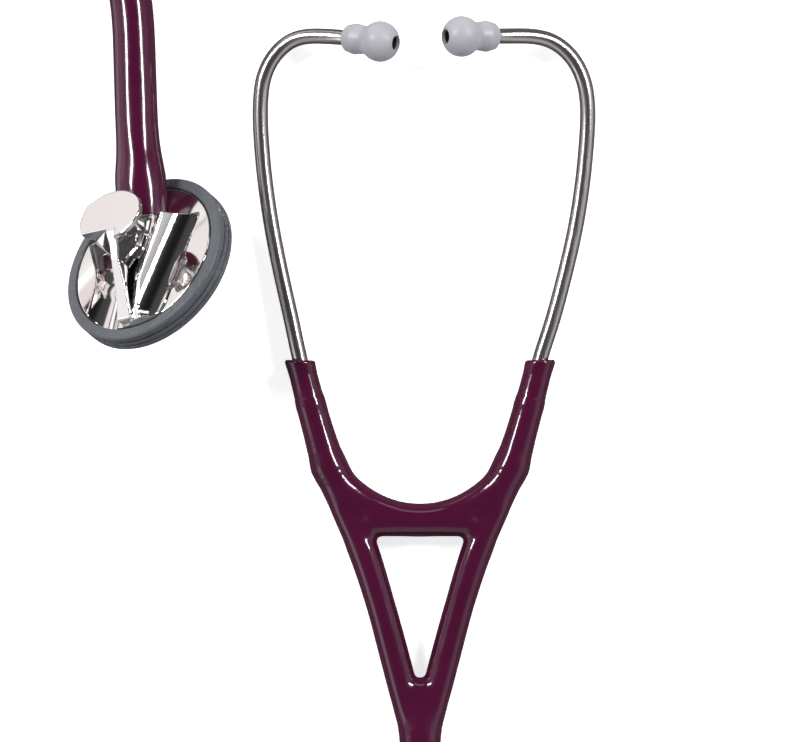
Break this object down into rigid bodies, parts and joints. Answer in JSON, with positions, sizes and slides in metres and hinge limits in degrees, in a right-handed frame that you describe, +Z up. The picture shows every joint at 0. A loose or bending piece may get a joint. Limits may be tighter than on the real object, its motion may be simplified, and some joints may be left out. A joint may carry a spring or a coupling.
{
  "type": "stethoscope",
  "caption": "Single-head stethoscope laid flat: polished chestpiece with a grey rim, glossy plum tubing with a V yoke, bent steel ear tubes and soft grey ear tips.",
  "frame": {"origin": "on the surface that the object lies on, under the middle of the box of the headset and chestpiece, without the hose", "axes": "+Y from the yoke's end along the headset towards the ear tips, +Z up out of the surface, +X from the chestpiece towards the headset"},
  "size_m": [0.2177, 0.3043, 0.0413],
  "materials": {
    "plum_tubing": "glossy flexible PVC, deep plum",
    "polished_steel": "mirror-polished stainless steel",
    "satin_steel": "satin drawn stainless steel tube",
    "spring_steel": "plain spring steel",
    "rim_grey": "semi-gloss slate grey elastomer",
    "tip_grey": "soft satin light grey elastomer",
    "insert_grey": "moulded plastic liner",
    "diaphragm_sheet": "fine-textured glass-fibre and epoxy sheet",
    "seal_black": "black elastomer"
  },
  "bodies": {
    "tubing_and_chestpiece": {"yoke_core": "plum_tubing", "leaf_spring": "spring_steel", "main_tube": "plum_tubing", "tube_end": "plum_tubing", "chestpiece_body": "polished_steel", "chestpiece_stem": "polished_steel", "stem_collar": "polished_steel", "retaining_rim": "rim_grey", "body_seal": "seal_black", "diaphragm_surround": "seal_black"},
    "diaphragm": {"diaphragm": "diaphragm_sheet"},
    "left_branch": {"left_branch": "plum_tubing", "left_spring_clamp": "spring_steel"},
    "right_branch": {"right_branch": "plum_tubing", "right_spring_clamp": "spring_steel"},
    "left_ear_tube": {"left_ear_tube": "satin_steel", "left_tip_stop": "satin_steel"},
    "right_ear_tube": {"right_ear_tube": "satin_steel", "right_tip_stop": "satin_steel"},
    "left_ear_tip": {"left_ear_tip": "tip_grey", "left_tip_insert": "insert_grey"},
    "right_ear_tip": {"right_ear_tip": "tip_grey", "right_tip_insert": "insert_grey"}
  },
  "joints": [
    {"name": "diaphragm_press", "type": "slide", "parent": "tubing_and_chestpiece", "child": "diaphragm", "axis": [-0.5346, 0.4831, 0.6934], "range_m": [0, 0.0006], "stiffness_N_per_m": 600},
    {"name": "left_spread", "type": "hinge", "parent": "tubing_and_chestpiece", "child": "left_branch", "pos_m": [-0.0017, -0.023, 0.0051], "axis": [0, 0, 1], "range_deg": [0, 19], "stiffness_Nm_per_rad": 0.6},
    {"name": "left_swivel", "type": "hinge", "parent": "left_branch", "child": "left_ear_tube", "pos_m": [-0.0017, -0.023, 0.0051], "axis": [-0.2571, 0.9664, 0], "range_deg": [-20, 20]},
    {"name": "left_tip_turn", "type": "hinge", "parent": "left_ear_tube", "child": "left_ear_tip", "pos_m": [0.0026, 0.0978, 0.0102], "axis": [0.8661, -0.1217, 0.4848], "continuous": true},
    {"name": "right_spread", "type": "hinge", "parent": "tubing_and_chestpiece", "child": "right_branch", "pos_m": [0.0507, -0.023, 0.0051], "axis": [0, 0, -1], "range_deg": [0, 19], "stiffness_Nm_per_rad": 0.6},
    {"name": "right_swivel", "type": "hinge", "parent": "right_branch", "child": "right_ear_tube", "pos_m": [0.0507, -0.023, 0.0051], "axis": [0.2571, 0.9664, 0], "range_deg": [-20, 20]},
    {"name": "right_tip_turn", "type": "hinge", "parent": "right_ear_tube", "child": "right_ear_tip", "pos_m": [0.0468, 0.0982, 0.0102], "axis": [-0.8738, -0.0381, 0.4848], "continuous": true}
  ]
}
